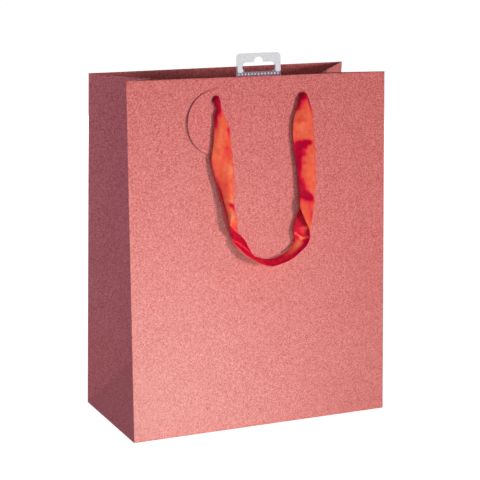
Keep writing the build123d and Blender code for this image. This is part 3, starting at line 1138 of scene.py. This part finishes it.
def euro_slot(width, low, shoulder, top, bump):
    """The hole of a hanging tab: a long slot with round ends and a hump in its middle."""
    end = (shoulder - low) / 2
    middle = (shoulder + low) / 2
    points = []
    for centre, start in ((width / 2 - end, -90), (-width / 2 + end, 90)):
        for n in range(13):
            angle = math.radians(start + 180 * n / 12)
            points.append((centre + end * math.cos(angle), middle + end * math.sin(angle)))
        if start == -90:
            for n in range(15):
                angle = math.pi * n / 14
                points.append((bump * math.cos(angle), shoulder - 0.2 + (top - shoulder) * math.sin(angle)))
    return points


def film_shape(name, outlines, thickness):
    """A flat film with holes, with a small round on its edges."""
    edge_round = 0.05
    curve = bpy.data.curves.new(name, "CURVE")
    curve.dimensions = "2D"
    curve.fill_mode = "BOTH"
    curve.extrude = (thickness / 2 - edge_round) * MM
    curve.bevel_depth = edge_round * MM
    curve.bevel_resolution = 1
    for outline in outlines:
        spline = curve.splines.new("POLY")
        spline.points.add(len(outline) - 1)
        for point, (x, y) in zip(spline.points, outline):
            point.co = (x * MM, y * MM, 0, 1)
        spline.use_cyclic_u = True
    made = bpy.data.objects.new(name + "_outline", curve)
    bpy.context.scene.collection.objects.link(made)
    mesh = evaluated_mesh(made)
    bpy.data.objects.remove(made)
    return mesh


def hang_tab():
    """The clear hanging tab above the rim, with its slot and the perforated line it folds on."""
    pivot = joints["tab_fold"]["pos_m"]
    fold_up = panel_up(pivot)
    half = tab_box[1].x / MM
    top = panel_up(tab_box[1]) - fold_up
    outlines = [tab_outline(-half, half, 0.1, top, 4.0, 0.4)]
    outlines.append(euro_slot(slot_width, slot_low, slot_shoulder, slot_top, slot_bump))
    cut = np.linspace(0, 2 * math.pi, 11)[:-1]
    for n in range(perforation_count):
        x = (n - perforation_count // 2) * perforation_pitch
        outlines.append([(x + 0.35 * math.cos(t), 1.3 + 0.22 * math.sin(t)) for t in cut])
    mesh = film_shape("hang_tab_film", outlines, film_thickness)
    depth = -((pivot[1] / MM + half_depth) * height - pivot[2] / MM * lean) / panel_length
    for vertex in mesh.vertices:
        x, up, out = np.array(vertex.co) / MM
        vertex.co = panel_point(x, fold_up + up, depth + out) * MM
    mesh.materials.append(film)
    mesh.polygons.foreach_set("use_smooth", [False] * len(mesh.polygons))
    tab = bpy.data.objects.new("hang_tab_film", mesh)
    bpy.context.scene.collection.objects.link(tab)
    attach(tab, "tab")
    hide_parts("hang_tab")
    return tab


def carried_over():
    """The frame's own pieces that stay, each with its real material."""
    finishes = {
        "bottom_outer_flap": flap_paper,
        "bottom_inner_flap": flap_paper,
        "right_tuck_flap": flap_paper,
        "left_tuck_flap": flap_paper,
        "side_seam_flap": glitter,
        "base_board": card,
        "hang_tab_foot": film,
        "hang_tab_sticker": adhesive,
    }
    for name, material in finishes.items():
        mesh = nodes[name].data
        mesh.materials.clear()
        mesh.materials.append(material)


# ---------------------------------------------------------------- floor, light and camera


def studio_white(name, seen_glow, bounce):
    """A pale studio floor, nearly shadowless as seen, that throws some light back up."""
    tree = Nodes(name)
    tone = tree.mix(tree.noise(3.0), (0.86, 0.86, 0.86, 1), (0.90, 0.90, 0.90, 1))
    seen = tree.add("ShaderNodeLightPath").outputs["Is Camera Ray"]
    return tree.shade(
        Base_Color=tone,
        Roughness=1.0,
        Specular_IOR_Level=0.0,
        Emission_Color=(1, 1, 1, 1),
        Emission_Strength=tree.ramp(seen, 0.0, 1.0, bounce, seen_glow),
    )


def floor():
    points = [(-6000, -6000, -0.3), (6000, -6000, -0.3), (6000, 6000, -0.3), (-6000, 6000, -0.3)]
    piece = new_piece("floor", points, [(0, 1, 2, 3)], [studio_white("floor_white", 0.9, 0.12)])
    piece.visible_shadow = False  # the sheen comes up through it, like light off a glossy table


def world():
    """White behind the bag as the camera sees it, and a dim, slightly violet light on the bag."""
    bounce = 0.16
    seen_glow = 1.2
    scene_world = bpy.data.worlds.new("studio")
    scene_world.use_nodes = True
    tree = scene_world.node_tree
    background = tree.nodes["Background"]
    background.inputs["Color"].default_value = (0.95, 0.87, 1.06, 1)
    seen = tree.nodes.new("ShaderNodeLightPath").outputs["Is Camera Ray"]
    strength = tree.nodes.new("ShaderNodeMapRange")
    tree.links.new(seen, strength.inputs[0])
    strength.inputs[3].default_value = bounce
    strength.inputs[4].default_value = seen_glow
    tree.links.new(strength.outputs[0], background.inputs["Strength"])
    bpy.context.scene.world = scene_world


def back_vector(azimuth, elevation):
    """The direction from the bag towards a viewer or a lamp. Azimuth 0 is straight in front."""
    side = math.sin(azimuth) * math.cos(elevation)
    front = -math.cos(azimuth) * math.cos(elevation)
    return Vector((side, front, math.sin(elevation)))


def place_lamp(name, lamp, azimuth, elevation, distance, target):
    """A lamp at this distance from target, facing it."""
    direction = back_vector(math.radians(azimuth), math.radians(elevation))
    holder = bpy.data.objects.new(name, lamp)
    bpy.context.scene.collection.objects.link(holder)
    holder.location = Vector(target) + direction * distance
    holder.rotation_euler = direction.to_track_quat("Z", "Y").to_euler()
    return holder


def area_light(name, azimuth, elevation, distance, size, power, target, shadow=True):
    """A round soft light."""
    lamp = bpy.data.lights.new(name, "AREA")
    lamp.shape = "DISK"
    lamp.size = size
    lamp.energy = power
    lamp.use_shadow = shadow
    lamp.cycles.cast_shadow = shadow
    return place_lamp(name, lamp, azimuth, elevation, distance, target)


def spot_light(name, azimuth, elevation, distance, radius, power, target, cone):
    """A distant lamp whose soft-edged beam is brightest at target."""
    beam = bpy.data.lights.new(name, "SPOT")
    beam.energy = power
    beam.shadow_soft_size = radius
    beam.spot_size = math.radians(cone)
    beam.spot_blend = 1.0
    return place_lamp(name, beam, azimuth, elevation, distance, target)


def lights():
    """A beam from the right, a low sheen on the foot of the front, and soft fills."""
    key = spot_light("key", 38, 3, 3.0, 0.36, 294.0, (-0.094, -0.06, 0.152), 21)
    key.visible_glossy = False
    sheen = area_light("floor_sheen", 18, -13, 0.55, 0.25, 4.4, (-0.12, -0.062, 0.02))
    sheen.visible_diffuse = False
    sheen.data.color = (1.0, 1.0, 0.86)
    left = area_light("left_fill", -15, 5, 0.5, 0.5, 0.35, (-0.13, -0.05, 0.22))
    left.visible_glossy = False
    low = area_light("low_fill", 0, -12, 0.7, 0.3, 0.25, (-0.1, -0.06, 0.1), False)
    low.visible_glossy = False
    side = area_light("side_fill", -88, 4, 1.0, 0.8, 1.4, (-0.13, 0.0, 0.18))
    side.data.color = (0.52, 0.72, 1.3)
    high = area_light("side_top_fill", -88, 30, 0.20, 0.10, 0.03, (-0.125, 0.0, 0.32), False)
    high.visible_glossy = False
    high.data.color = (0.7, 0.72, 1.0)
    area_light("back_fill", 160, 10, 1.8, 1.0, 7.0, (0.0, 0.05, 0.2))


def camera():
    """The camera's place, aim and lens. Its frame is square."""
    target = Vector((-2.1, 0.0, 159.8)) * MM
    distance = 1521.5 * MM
    azimuth = math.radians(-25.0)
    elevation = math.radians(13.2)
    roll = math.radians(0.86)
    sensor = 36.0
    focal_share = 3.33  # focal length over sensor width
    back = back_vector(azimuth, elevation)
    right = Vector((0, 0, 1)).cross(back).normalized()
    up = back.cross(right)
    rolled_right = right * math.cos(roll) + up * math.sin(roll)
    rolled_up = up * math.cos(roll) - right * math.sin(roll)
    lens = bpy.data.cameras.new("camera")
    lens.sensor_width = sensor
    lens.lens = sensor * focal_share
    lens.shift_x = 0.0095
    lens.shift_y = 0.0118
    lens.clip_start = 0.01
    viewer = bpy.data.objects.new("camera", lens)
    bpy.context.scene.collection.objects.link(viewer)
    axes = Matrix((rolled_right, rolled_up, back)).transposed().to_4x4()
    viewer.matrix_world = Matrix.Translation(target + back * distance) @ axes
    bpy.context.scene.camera = viewer


# ---------------------------------------------------------------- the whole scene

camera()
world()
lights()
floor()
bpy.context.scene.view_settings.view_transform = "Standard"
carried_over()
paper_shell()
rim_card("front_rim_card", 0.0, 1)
rim_card("back_rim_card", turn + 2 * half_depth, -1)
ribbon("front_handle_ribbon", 1, "front_ribbon")
ribbon("back_handle_ribbon", -1, "back_ribbon")
for panel_name, panel_side in (("front", 1), ("back", -1)):
    for knot_side in ("left", "right"):
        ribbon_knot(f"{panel_name}_{knot_side}_knot", panel_side)
gift_tag()
hang_tab()
